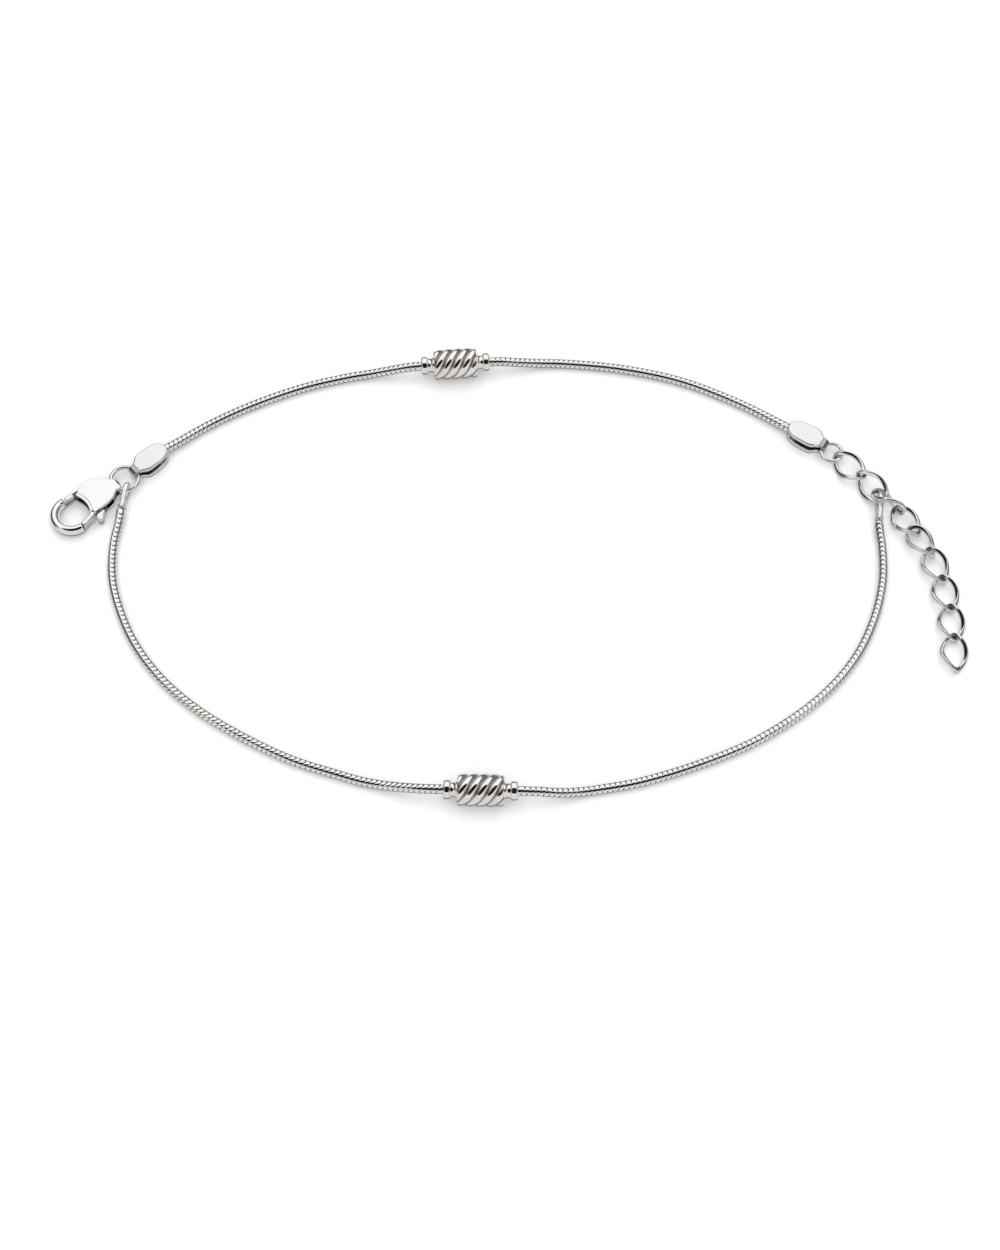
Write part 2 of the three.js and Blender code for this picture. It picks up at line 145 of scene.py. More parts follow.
# Noise scales of the metal's cloudy colour, its uneven polish and its faint dents
CLOUD_SCALE = 260.0
POLISH_SCALE = 900.0
DENT_SCALE = 700.0
# How deep the dents are at full strength, in metres
DENT_DEPTH = 0.00002


def silver(name, colour, dull, roughness, dents, shadow=(0.03, 0.022, 0.018)):
    """Silver with a cloudy colour, uneven polish and faint dents, and painted shade: where a point is
    marked as shaded, its colour is mixed towards the shadow colour.
    """
    material = bpy.data.materials.new(name)
    material.use_nodes = True
    tree = material.node_tree
    shader = tree.nodes["Principled BSDF"]
    shader.inputs["Metallic"].default_value = 1.0
    place = add_node(tree, "ShaderNodeTexCoord").outputs["Object"]
    cloud = noise(tree, place, CLOUD_SCALE, 3.0)
    mix = add_node(tree, "ShaderNodeMix", data_type="RGBA")
    mix.inputs["A"].default_value = (*dull, 1)
    mix.inputs["B"].default_value = (*colour, 1)
    tree.links.new(spread(tree, cloud, 0.0, 1.0), mix.inputs["Factor"])
    # Painted shade: the amount stored on each point mixes the colour towards the shadow colour, for
    # grooves, hollows and gaps that light hardly reaches
    depth = add_node(tree, "ShaderNodeAttribute", attribute_name="painted_shade")
    shade = add_node(tree, "ShaderNodeMix", data_type="RGBA")
    shade.inputs["B"].default_value = (*shadow, 1)
    tree.links.new(mix.outputs["Result"], shade.inputs["A"])
    tree.links.new(depth.outputs["Fac"], shade.inputs["Factor"])
    tree.links.new(shade.outputs["Result"], shader.inputs["Base Color"])
    polish = noise(tree, place, POLISH_SCALE, 5.0)
    rough = spread(tree, polish, roughness * 0.7, roughness * 1.4)
    tree.links.new(rough, shader.inputs["Roughness"])
    bump = add_node(tree, "ShaderNodeBump")
    bump.inputs["Strength"].default_value = dents
    bump.inputs["Distance"].default_value = DENT_DEPTH
    tree.links.new(noise(tree, place, DENT_SCALE, 2.0), bump.inputs["Height"])
    tree.links.new(bump.outputs["Normal"], shader.inputs["Normal"])
    return material


POLISHED = silver("polished_silver", colour=(0.93, 0.93, 0.925), dull=(0.89, 0.885, 0.88),
                  roughness=0.05, dents=0.12)
TAG = silver("tag_silver", colour=(0.87, 0.87, 0.865), dull=(0.82, 0.815, 0.81),
             roughness=0.07, dents=0.12)
WIRE = silver("wire_silver", colour=(0.93, 0.915, 0.90), dull=(0.85, 0.83, 0.81),
              roughness=0.05, dents=0.15)
CHAIN = silver("chain_silver", colour=(0.95, 0.94, 0.925), dull=(0.88, 0.86, 0.84),
               roughness=0.08, dents=0.1, shadow=(0.09, 0.075, 0.065))
BEAD = silver("bead_silver", colour=(0.96, 0.935, 0.915), dull=(0.89, 0.86, 0.835),
              roughness=0.05, dents=0.12)


# ---- Mesh helpers ---------------------------------------------------------------------------


def place_points(points, place):
    """Turns points in a piece's own millimetres into metres in the frame.

    place is x, y and heading.
    """
    x, y, heading = place[0], place[1], math.radians(place[2])
    points = np.asarray(points, dtype=float)
    turned = np.empty_like(points)
    turned[:, 0] = x + points[:, 0] * math.cos(heading) - points[:, 1] * math.sin(heading)
    turned[:, 1] = y + points[:, 0] * math.sin(heading) + points[:, 1] * math.cos(heading)
    turned[:, 2] = points[:, 2]
    return turned * MM + SHIFT


def ring_faces(rows, columns, closed=False):
    """Faces between rows of points that each go round, closed if the last row meets the first."""
    faces = []
    for r in range(rows if closed else rows - 1):
        for c in range(columns):
            a, b = r * columns + c, r * columns + (c + 1) % columns
            d, e = (r + 1) % rows * columns + c, (r + 1) % rows * columns + (c + 1) % columns
            faces.append((a, b, e, d))
    return faces


def capped_faces(rows, columns):
    """Faces between rows that don't meet, with a face over each end too."""
    first = tuple(reversed(range(columns)))
    last = tuple(range((rows - 1) * columns, rows * columns))
    return [*ring_faces(rows, columns), first, last]


def add_piece(name, points, faces, material, body, nodes, painted_shades=None):
    """Each point can be given an amount of painted shade, from 0 to 1, that darkens its colour."""
    mesh = bpy.data.meshes.new(name)
    mesh.from_pydata([tuple(p) for p in points], [], faces)
    mesh.validate()
    # Painted shade, stored on each point for the material
    if painted_shades is not None:
        layer = mesh.attributes.new("painted_shade", "FLOAT", "POINT")
        layer.data.foreach_set("value", np.asarray(painted_shades, dtype=np.float32))
    mesh.materials.append(material)
    mesh.polygons.foreach_set("use_smooth", [True] * len(mesh.polygons))
    piece = bpy.data.objects.new(name, mesh)
    bpy.context.scene.collection.objects.link(piece)
    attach(piece, body)
    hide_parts(*nodes)
    return piece


# Edges of a slab that turn by more than this are rounded
BEVELLED_ANGLE = math.radians(30)


class Shells:
    """Bevelled slabs and swept tubes collected into one mesh, in a piece's own millimetres."""

    def __init__(self):
        self.points = []
        self.faces = []
        self.painted_shades = []

    def add(self, points, faces, painted_shade=0.0):
        base = len(self.points)
        self.points.extend(tuple(p) for p in points)
        # Every point of this shell carries its painted shade
        self.painted_shades.extend([painted_shade] * len(points))
        self.faces.extend(tuple(base + i for i in face) for face in faces)

    def slab(self, corners, heights, bevel, segments=3, lift=None, painted_shade=0.0):
        """A flat outline between two heights, its edges rounded.

        lift moves points up by their x and z, and the slab can be given an amount of painted shade, for
        where it sits in shade between other parts.
        """
        bottom, top = heights
        bm = bmesh.new()
        low = [bm.verts.new((x, y, bottom)) for x, y in corners]
        face = bm.faces.new(low)
        if signed_area(corners) > 0:
            face.normal_flip()
        raised = bmesh.ops.extrude_face_region(bm, geom=[face])
        verts = [v for v in raised["geom"] if isinstance(v, bmesh.types.BMVert)]
        bmesh.ops.translate(bm, verts=verts, vec=(0, 0, top - bottom))
        bmesh.ops.recalc_face_normals(bm, faces=bm.faces)
        bm.edges.ensure_lookup_table()
        sharp = [e for e in bm.edges if e.calc_face_angle(0) > BEVELLED_ANGLE]
        bmesh.ops.bevel(bm, geom=sharp, offset=bevel, segments=segments, profile=0.5,
                        affect="EDGES", clamp_overlap=True)
        bm.verts.index_update()
        points = [tuple(v.co) for v in bm.verts]
        if lift:
            points = [(x, y, z + lift(x, z)) for x, y, z in points]
        self.add(points, [[v.index for v in f.verts] for f in bm.faces], painted_shade)
        bm.free()

    def sweep(self, path, sides, ups, sections, painted_shades=None):
        """A tube with its own section at each point of the path.

        A section is points (across, up) along that point's side and up, and each section can be given
        its own amount of painted shade.
        """
        rows = []
        for centre, side, up, ring in zip(path, sides, ups, sections):
            rows.append(centre + np.outer(ring[:, 0], side) + np.outer(ring[:, 1], up))
        count = len(rows[0])
        points = np.concatenate(rows)
        self.add(points, capped_faces(len(rows), count))
        # Painted shade, given section by section
        if painted_shades is not None:
            self.painted_shades[-len(points):] = np.repeat(painted_shades, count)

    def piece(self, name, place, material, body, slot, nodes, sharp_angle=35):
        """Adds the piece, with edges sharper than sharp_angle in degrees left sharp."""
        made = add_piece(name, place_points(self.points, place), self.faces, material, body,
                         nodes, self.painted_shades)
        made.data.set_sharp_from_angle(angle=math.radians(sharp_angle))
        made.modifiers.new("flat_faces", "WEIGHTED_NORMAL").keep_sharp = True


def smooth(x, start, end):
    """0 before start, 1 after end, and a smooth step between them."""
    t = min(max((x - start) / (end - start), 0.0), 1.0)
    return t * t * (3 - 2 * t)


def signed_area(corners):
    return sum(a[0] * b[1] - b[0] * a[1] for a, b in zip(corners, corners[1:] + corners[:1])) / 2


def upright_frames(path):
    """Sides and ups for a section swept along a path in the upright plane y = 0."""
    tangents = np.gradient(path, axis=0)
    tangents /= np.linalg.norm(tangents, axis=1)[:, None]
    sides = np.tile([0.0, 1.0, 0.0], (len(path), 1))
    return sides, np.cross(sides, tangents)


def arc(cx, cy, radius, start, end, count):
    angles = np.radians(np.linspace(start, end, count))
    return [(cx + radius * math.cos(a), cy + radius * math.sin(a)) for a in angles]


def rounded(half_width, half_height, power, count):
    """A closed curve that is an ellipse at power 2, squarer above it and more pointed below it."""
    angles = np.linspace(0, 2 * math.pi, count, endpoint=False)
    x = np.sign(np.cos(angles)) * np.abs(np.cos(angles)) ** (2 / power) * half_width
    y = np.sign(np.sin(angles)) * np.abs(np.sin(angles)) ** (2 / power) * half_height
    return np.stack([x, y], 1)


# ---- Snake chain ------------------------------------------------------------------------------

CHAIN_RADIUS = 0.675
CHAIN_AROUND = 48
RING_PITCH = 0.73
# Each ring's edge zigzags this many times round the chain, and by this much along it
ZIGZAGS = 2
ZIGZAG_LENGTH = 0.6
# Angle round the chain of the smooth line that faces up and to the front
SMOOTH_LINE = math.radians(61)
# Away from that line the grooves deepen and their painted shade darkens, from this angle on and over
# this angle in degrees, and they have at least this part of their depth and of their painted shade
# everywhere
GROOVE_FROM = 3.6
GROOVE_OVER = 24
LEAST_GROOVE = 0.2
# Length at a bead where solder has run into the grooves, and the part of their depth and of their
# painted shade that is left at the end of the chain and where the solder ends
SOLDERED = 1.6
SOLDER_LEAVES = (0.3, 0.5)
SOLDERED_ZIGZAG = 0.5
# Length over which a chain's ends get thinner and their painted shade lighter, and the part of the
# radius and of the painted shade that is left at the very end
END_LENGTH = 0.3
END_RADIUS = 0.9
END_DARKNESS = 0.4
# The chain's direction is measured over this length to both sides
DIRECTION_REACH = 0.2
# Across one ring: place from 0 to 1, depth of the surface and painted shade of the groove
RING_PROFILE = [
    (0.0, 0.075, 1.0), (0.08, 0.04, 0.6), (0.17, 0.014, 0.0), (0.32, 0.003, 0.0),
    (0.5, 0.0, 0.0), (0.68, 0.003, 0.0), (0.83, 0.014, 0.0), (0.92, 0.04, 0.6),
]


def spline(points, per_segment):
    """A centripetal Catmull-Rom curve through the points."""
    p = [np.array(q) for q in points]
    p = [2 * p[0] - p[1], *p, 2 * p[-1] - p[-2]]
    curve = []
    for i in range(1, len(p) - 2):
        knots = [0.0]
        for a, b in zip(p[i - 1:i + 2], p[i:i + 3]):
            knots.append(knots[-1] + np.linalg.norm(b - a) ** 0.5)
        k0, k1, k2, k3 = knots
        for t in np.linspace(k1, k2, per_segment, endpoint=False):
            a1 = (k1 - t) / (k1 - k0) * p[i - 1] + (t - k0) / (k1 - k0) * p[i]
            a2 = (k2 - t) / (k2 - k1) * p[i] + (t - k1) / (k2 - k1) * p[i + 1]
            a3 = (k3 - t) / (k3 - k2) * p[i + 1] + (t - k2) / (k3 - k2) * p[i + 2]
            b1 = (k2 - t) / (k2 - k0) * a1 + (t - k0) / (k2 - k0) * a2
            b2 = (k3 - t) / (k3 - k1) * a2 + (t - k1) / (k3 - k1) * a3
            curve.append((k2 - t) / (k2 - k1) * b1 + (t - k1) / (k2 - k1) * b2)
    curve.append(p[-2])
    return np.array(curve)


def along_curve(curve, distances):
    """Points of the curve at these distances from its start."""
    lengths = np.concatenate([[0], np.cumsum(np.linalg.norm(np.diff(curve, axis=0), axis=1))])
    return np.stack([np.interp(distances, lengths, curve[:, k]) for k in range(3)], 1)


def curve_length(curve):
    return np.linalg.norm(np.diff(curve, axis=0), axis=1).sum()


def snake_chain(name, route, node, solder_start=0.0, solder_end=0.0):
    """Rings with zigzag edges all along the route, with painted shade in their grooves, shallower and
    less shaded where solder has run into them.
    """
    curve = spline(route, per_segment=24)
    length = curve_length(curve)
    count = round(length / RING_PITCH)
    pitch = length / count
    angles = np.linspace(0, 2 * math.pi, CHAIN_AROUND, endpoint=False)
    turns = (angles - SMOOTH_LINE) * ZIGZAGS / math.pi + 0.5
    zigzag = np.abs(turns % 2 - 1) - 0.5
    degrees_away = np.abs(np.degrees(angles - SMOOTH_LINE + math.pi) % 360 - 180)
    notch = np.clip((degrees_away - GROOVE_FROM) / GROOVE_OVER, LEAST_GROOVE, 1)
    places = [(ring + at, depth, dark) for ring in range(count) for at, depth, dark in RING_PROFILE]
    places.append((count, *RING_PROFILE[0][1:]))
    distances = np.array([p[0] for p in places]) * pitch
    centres = along_curve(curve, distances)
    ahead = along_curve(curve, np.minimum(distances + DIRECTION_REACH, length))
    behind = along_curve(curve, np.maximum(distances - DIRECTION_REACH, 0))
    tangents = ahead - behind
    tangents /= np.linalg.norm(tangents, axis=1)[:, None]
    least, most = SOLDER_LEAVES
    points, painted_shades = [], []
    for (_, depth, dark), s, centre, tangent in zip(places, distances, centres, tangents):
        side = np.cross(tangent, (0, 0, 1))
        side /= np.linalg.norm(side)
        up = np.cross(side, tangent)
        left = 1.0
        if s < solder_start:
            left = least + (most - least) * s / solder_start
        if length - s < solder_end:
            left = least + (most - least) * (length - s) / solder_end
        edge = max(min(1.0, s / END_LENGTH, (length - s) / END_LENGTH), 0.0)
        radius = CHAIN_RADIUS - left * depth * notch
        radius = radius * (END_RADIUS + (1 - END_RADIUS) * math.sqrt(edge))
        offset = -ZIGZAG_LENGTH * zigzag * edge * (1 if left == 1 else SOLDERED_ZIGZAG)
        ring = centre + np.outer(np.cos(angles) * radius, side) + np.outer(np.sin(angles) * radius, up)
        points.append(ring + np.outer(offset, tangent))
        # Painted shade in the grooves, weaker where solder fills them and at the chain's ends
        painted_shades.append(left * dark * notch * (END_DARKNESS + (1 - END_DARKNESS) * edge))
    metres = np.concatenate(points) * MM + SHIFT
    add_piece(name, metres, capped_faces(len(points), CHAIN_AROUND), CHAIN, "bracelet",
              [node], np.concatenate(painted_shades))


snake_chain("snake_chain_rear_left", REAR_LEFT, "rear_chain_left", solder_end=SOLDERED)
snake_chain("snake_chain_rear_right", REAR_RIGHT, "rear_chain_right", solder_start=SOLDERED)
snake_chain("snake_chain_front_left", FRONT_LEFT, "front_chain_left", solder_end=SOLDERED)
snake_chain("snake_chain_front_right", FRONT_RIGHT, "front_chain_right", solder_start=SOLDERED)


# ---- Beads --------------------------------------------------------------------------------------

BEAD_AROUND = 240
# The bead lies on its barrel, which is a little thinner at its ends
BARREL_RADIUS = 2.25
BARREL_HALF = 3.15
BARREL_TAPER = 0.12
# Where the even part of the barrel ends, and the rounding after it: its length, height and the
# radius that it comes down to
EVEN_HALF = 2.9
ROUNDING = (0.25, 0.24, 1.9)
# The ridges get lower by this much in each step of the rounding
RIDGE_FADE = 0.04
RIDGES = 5
RIDGE_PITCH = 1.395
RIDGE_DEPTH = 0.5
# Part of a full half circle that a ridge's section has
RIDGE_FULLNESS = 0.98
# A groove gets painted shade from this part of its depth on, and this steeply
DARK_FROM = 0.3
DARK_GAIN = 2.4
NECK_RADIUS = 1.02
# Flange: where it starts, its width, its radius and the rounding of its edges
FLANGE = (4.03, 0.97, 1.32, 0.26)
# From the rounding to the neck: distance from the middle, radius and how much of the ridges shows
BARREL_END = [
    (3.12, 1.6, 0.35), (3.08, 1.3, 0.0), (3.08, 1.18, 0.0), (3.14, 1.14, 0.0), (3.3, 1.14, 0.0),
    (3.37, 1.08, 0.0), (3.4, NECK_RADIUS, 0.0), (3.98, NECK_RADIUS, 0.0), (4.0, NECK_RADIUS, 0.0),
]
# The flange's hollow end: distance in from its outer face, and radius
BORE = [(0.0, 0.95), (0.25, 0.8)]
# Angle round the bead, from the back over the top, of the edge that the front view sees lowest
LOWEST_SEEN = math.radians(209)


def bead_profile():
    """Distance from the middle, radius and how much of the ridges shows, for one half."""
    profile = []
    for step in range(29):
        x = EVEN_HALF * step / 28
        profile.append((x, BARREL_RADIUS - BARREL_TAPER * (x / BARREL_HALF) ** 2, 1.0))
    long, high, base = ROUNDING
    for step in range(1, 7):
        a = math.radians(15 * step)
        profile.append((EVEN_HALF + long * math.sin(a), base + high * math.cos(a),
                        1.0 - RIDGE_FADE * step))
    start, width, radius, corner = FLANGE
    flange = []
    for step in range(8):
        a = math.radians(90 * step / 7)
        flange.append((start + corner * (1 - math.sin(a)), radius - corner * (1 - math.cos(a)), 0.0))
    mirrored = [(2 * start + width - x, r, 0.0) for x, r, _ in flange]
    bore = [(start + width - depth, r, 0.0) for depth, r in BORE]
    return [*profile, *BARREL_END, *reversed(flange), *mirrored, *bore]


def bead(name, place, node, crest):
    """crest is where along the bead a ridge crosses the edge that the front view sees lowest."""
    half = bead_profile()
    rows = [(-x, r, k) for x, r, k in reversed(half[1:])] + half
    angles = np.linspace(0, 2 * math.pi, BEAD_AROUND, endpoint=False)
    points, painted_shades = [], []
    for x, radius, show in rows:
        turn = RIDGES * (angles - LOWEST_SEEN) / (2 * math.pi) + (x - crest) / RIDGE_PITCH
        across = ((turn + 0.5) % 1 - 0.5) * 2 * RIDGE_FULLNESS
        hollow = 1 - np.sqrt(1 - across ** 2)
        r = radius - RIDGE_DEPTH * hollow * show
        points.append(np.stack([np.full(BEAD_AROUND, x), np.cos(angles) * r,
                                np.sin(angles) * r + BARREL_RADIUS], 1))
        # Painted shade in the deeper part of each groove
        painted_shades.append(np.clip((hollow - DARK_FROM) * DARK_GAIN, 0, 1) * show)
    add_piece(name, place_points(np.concatenate(points), place), ring_faces(len(rows), BEAD_AROUND),
              BEAD, "bracelet", [node], np.concatenate(painted_shades))


bead("twisted_bead_front", FRONT_BEAD, "front_bead", crest=-0.15)
bead("twisted_bead_rear", REAR_BEAD, "rear_bead", crest=0.05)


# ---- Rings, links and end loops -------------------------------------------------------------------

# Points along a ring's or a link's wire, and round it
WIRE_ALONG = 96
WIRE_AROUND = 24


def jump_ring(name, centre, radius, wire, node):
    """radius is to the middle of the wire, and wire is its thickness."""
    turns = np.linspace(0, 2 * math.pi, WIRE_ALONG, endpoint=False)
    angles = np.linspace(0, 2 * math.pi, WIRE_AROUND, endpoint=False)
    points = []
    for turn in turns:
        reach = radius + wire / 2 * np.cos(angles)
        points.append(np.stack([reach * math.cos(turn), reach * math.sin(turn),
                                THREAD_Z + wire / 2 * np.sin(angles)], 1))
    metres = place_points(np.concatenate(points), (*centre, 0))
    add_piece(name, metres, ring_faces(WIRE_ALONG, WIRE_AROUND, closed=True), WIRE, "bracelet",
              [node])


# Half length and half width of a link, along the middle of its wire
LINK_HALF = (2.7, 1.66)
# How round that line is: 2 is an oval, less is more pointed
LINK_POWER = 1.85
LINK_TWIST = -42.0
# The wire is pressed a little flat: half widths in and out, and how square it is
LINK_WIRE = (0.33, 0.28, 2.8)
# The inside of a link's ends has painted shade where the links meet: from and to these parts of
# its half length, and by this much
LINK_DARK = (0.8, 0.97)
LINK_DARKNESS = 0.8


def curb_link(name, place, node):
    """Wire bent to an oval and twisted about its length."""
    x0, y0, z0, heading, climb, roll = place
    oval = rounded(*LINK_HALF, LINK_POWER, WIRE_ALONG)
    tangents = np.roll(oval, -1, axis=0) - np.roll(oval, 1, axis=0)
    normals = np.stack([tangents[:, 1], -tangents[:, 0]], 1)
    normals /= np.linalg.norm(normals, axis=1)[:, None]
    out, up = rounded(*LINK_WIRE, WIRE_AROUND).T
    tip = math.radians(climb)
    points, painted_shades = [], []
    for middle, normal in zip(oval, normals):
        x = middle[0] + out * normal[0]
        y = middle[1] + out * normal[1]
        twist = np.radians(LINK_TWIST * x / LINK_HALF[0] + roll)
        y, z = y * np.cos(twist) - up * np.sin(twist), y * np.sin(twist) + up * np.cos(twist)
        x, z = x * math.cos(tip) - z * math.sin(tip), x * math.sin(tip) + z * math.cos(tip)
        points.append(np.stack([x, y, z + z0], 1))
        # Painted shade on the inside of the link's ends
        near_end = smooth(abs(middle[0]) / LINK_HALF[0], *LINK_DARK)
        painted_shades.append(near_end * np.clip(0.5 - 0.5 * out / LINK_WIRE[0], 0, LINK_DARKNESS))
    metres = place_points(np.concatenate(points), (x0, y0, heading))
    add_piece(name, metres, ring_faces(WIRE_ALONG, WIRE_AROUND, closed=True), WIRE, "bracelet",
              [node], np.concatenate(painted_shades))


jump_ring("jump_ring_left", LEFT_RING, radius=1.98, wire=0.66, node="left_jump_ring")
jump_ring("jump_ring_right", RIGHT_RING, radius=1.5, wire=0.56, node="right_jump_ring")
for number, place in enumerate(LINKS, 1):
    curb_link(f"curb_link_{number}", place, f"extender_link_{number}")

LOOP_OUTER = 1.05
# The loop's strap: width, thickness and how square it is
LOOP_STRAP = (0.7, 0.36, 2.6)
LOOP_ALONG = 90
# The strap's ends reach into the collar by this much, and are this far from its middle
STRAP_HELD = 0.2
STRAP_ROOT = 0.3
# Where the strap's straight sides meet the round end
ROUND_FROM = 0.4
COLLAR_LENGTH = 0.45


def end_loop(name, place, lean, node):
    """A strap bent to a loop and held in the collar on the chain, leaning over by some degrees."""
    x0, y0, z0, heading, length = place
    width, thickness, power = LOOP_STRAP
    collar = length - COLLAR_LENGTH
    middle = LOOP_OUTER - thickness / 2
    straight = [(collar + STRAP_HELD - step * (collar - ROUND_FROM) / 8,
                 STRAP_ROOT + step * (middle - STRAP_ROOT) / 8) for step in range(9)]
    mirrored = [(x, -y) for x, y in reversed(straight)]
    outline = straight + arc(0, 0, middle, 90, 270, 17) + mirrored
    curve = spline([(x, 0.0, y) for x, y in outline], per_segment=4)
    path = along_curve(curve, np.linspace(0, curve_length(curve), LOOP_ALONG))
    shells = Shells()
    shells.sweep(path, *upright_frames(path),
                 [rounded(width / 2, thickness / 2, power, 28)] * LOOP_ALONG)
    # The collar, as its radius along the chain
    along = [collar, collar + 0.05, collar + 0.14, length - 0.12, length - 0.04, length]
    radii = [0.5, 0.61, 0.66, 0.66, 0.6, 0.5]
    count = len(radii)
    shells.sweep(np.stack([along, np.zeros(count), np.zeros(count)], 1),
                 np.tile([0, 1.0, 0], (count, 1)), np.tile([0, 0, 1.0], (count, 1)),
                 [rounded(r, r, 2, 32) for r in radii])
    lean = -math.radians(lean)
    x, y, z = np.array(shells.points).T
    shells.points = np.stack([x, y * math.cos(lean) - z * math.sin(lean),
                              y * math.sin(lean) + z * math.cos(lean) + z0], 1)
    shells.piece(name, (x0, y0, heading), WIRE, "bracelet", "wire_silver", [node], sharp_angle=60)


end_loop("end_loop_left", FRONT_LEFT_LOOP, -4.0, "front_left_end_loop")
end_loop("end_loop_right", FRONT_RIGHT_LOOP, 14.0, "front_right_end_loop")


# ---- Folded tags --------------------------------------------------------------------------------

# Heights of a tag's two leaves and of the sheet of painted shade in the slot between them
TAG_TOP = (1.5, 2.3)
TAG_BOTTOM = (0.0, 0.8)
TAG_SLOT = (0.6, 1.7)
SLOT_INSET = 0.36
SLOT_START = 0.6
# The fold round the ring: middle radius, half width, half thickness and how square the strap is
FOLD_RADIUS = 0.6
FOLD_STRAP = (0.86, 0.2, 5)
# The leaves bend together by this much at the fold
FOLD_BEND = 0.33
# Room for the ring at the middle of the fold, and how far from the middle it reaches
RING_ROOM = 0.28
ROOM_REACH = 0.4


def tag_outline(inset=0.0, start=0.1):
    """Smooth outline of a tag's leaf from its neck to its round end."""
    half = [(start, 0.9), (0.55, 1.07), (0.85, 1.33), (1.2, 1.57), (1.7, 1.65), (2.6, 1.64),
            (3.5, 1.6), (4.15, 1.5), (4.67, 1.33), (5.08, 1.09), (5.37, 0.77), (5.54, 0.4)]
    half = [(x - inset * max(0, (x - 3) / 2.6), max(y - inset, 0.1)) for x, y in half]
    return [(x, -y) for x, y in half] + [(x, y) for x, y in reversed(half)]


def tag_fold(x, z):
    """The leaves bend together towards the fold and leave room in it for the ring."""
    away = THREAD_Z - z
    bend = FOLD_BEND * (1 - smooth(x, 0.0, 1.3)) * away / THREAD_Z
    room = RING_ROOM * (1 - smooth(x, 0.4, 0.9)) if abs(away) < ROOM_REACH else 0.0
    return bend - math.copysign(room, away)


def tag(name, place, node):
    shells = Shells()
    shells.slab(tag_outline(), TAG_TOP, bevel=0.24, segments=4, lift=tag_fold)
    shells.slab(tag_outline(-0.03), TAG_BOTTOM, bevel=0.2, segments=4, lift=tag_fold)
    # A sheet in the slot between the leaves, painted dark to stand for the shade there
    shells.slab(tag_outline(SLOT_INSET, SLOT_START), TAG_SLOT, bevel=0.05, segments=1, painted_shade=0.85)
    straight = [(0.95, FOLD_RADIUS), (0.5, FOLD_RADIUS), (0.15, FOLD_RADIUS)]
    mirrored = [(x, -z) for x, z in reversed(straight)]
    outline = straight + arc(0, 0, FOLD_RADIUS, 90, 270, 15) + mirrored
    path = np.array([(x, 0.0, z + THREAD_Z) for x, z in outline])
    # The fold's strap is darkened all over with painted shade
    shells.sweep(path, *upright_frames(path), [rounded(*FOLD_STRAP, 32)] * len(path),
                 painted_shades=[0.45] * len(path))
    shells.piece(name, place, TAG, "bracelet", "polished_silver", [node])


tag("end_tag_left", LEFT_TAG, "left_tag")
tag("end_tag_right", RIGHT_TAG, "right_tag")


# ---- Clasp ----------------------------------------------------------------------------------------

CLASP_NECK = [(7.1, -0.97), (7.9, -0.9), (8.3, -0.3), (8.35, 0.6), (8.1, 0.99), (7.45, 1.1),
              (7.2, 1.45), (5.9, 2.5), (5.1, 2.8)]
# The edge that faces the hook is a hollow arc round this point, this far to each side of it
HOLLOW = (-1.35, 0.27)
HOLLOW_HALF = 1.86
# The lever's rivet and its radius
PIVOT = (4.8, 0.8)
PIN_RADIUS = 0.4
# The lever's gate ends this far from the rivet
GATE_REACH = 4.65

# Heights of the body's plates, the lips inside their edges, the walls between them, the arm that
# carries the hook, and the pin
TOP_PLATE = (1.72, 2.3)
BOTTOM_PLATE = (0.0, 0.58)
TOP_LIP = (1.65, 2.02)
BOTTOM_LIP = (0.28, 0.65)
WALLS = (0.55, 1.75)
ARM = (0.28, 2.02)
PIN = (0.3, 2.0)

# Heights of the lever's blade, its gate and its thumb tab
BLADE = (0.75, 1.55)
GATE = (0.4, 1.9)
THUMB_TAB = (0.5, 1.8)

# The hook: middle radius, angles from the gate round to the arm, half width, half height and how
# square its section is
HOOK_RADIUS = 2.545
HOOK_ANGLES = (84, 269.5)
HOOK_SECTION = (0.68, 0.9, 2.05)
HOOK_ALONG = 90
# The hook's sections shrink towards this part of their size at its ends
HOOK_END = 0.9


def clasp_outline(radius, tip, front):
    angle = math.degrees(math.asin(HOLLOW_HALF / radius))
    edge = arc(*HOLLOW, radius, angle, -angle, 20)
    return [(3.1, 2.87), tip, *edge, *front, *CLASP_NECK]


def neck_drop(x, z):
    """The plates bend towards each other at the neck."""
    return -0.8 * smooth(x, 7.2, 8.45) * (z - THREAD_Z) / THREAD_Z


def add_hook(shells):
    angles = np.radians(np.linspace(*HOOK_ANGLES, HOOK_ALONG))
    sides = np.stack([np.cos(angles), np.sin(angles), np.zeros(HOOK_ALONG)], 1)
    path = HOOK_RADIUS * sides + np.array([0, 0, THREAD_Z])
    half_width, half_height, power = HOOK_SECTION
    sections, joint_shade = [], []
    for k in range(HOOK_ALONG):
        # Only the first three sections and the last three are smaller
        end = min(1.0, (k + 0.3) / 3, (HOOK_ALONG - 0.7 - k) / 3)
        ease = HOOK_END + (1 - HOOK_END) * math.sqrt(end)
        sections.append(rounded(half_width * ease, half_height * ease, power, 48))
        # Painted shade on the first two sections and the last, where the hook meets the gate and the
        # arm
        joint_shade.append(1.0 if k < 2 or k == HOOK_ALONG - 1 else 0.0)
    shells.sweep(path, sides, np.tile([0, 0, 1.0], (HOOK_ALONG, 1)), sections, painted_shades=joint_shade)


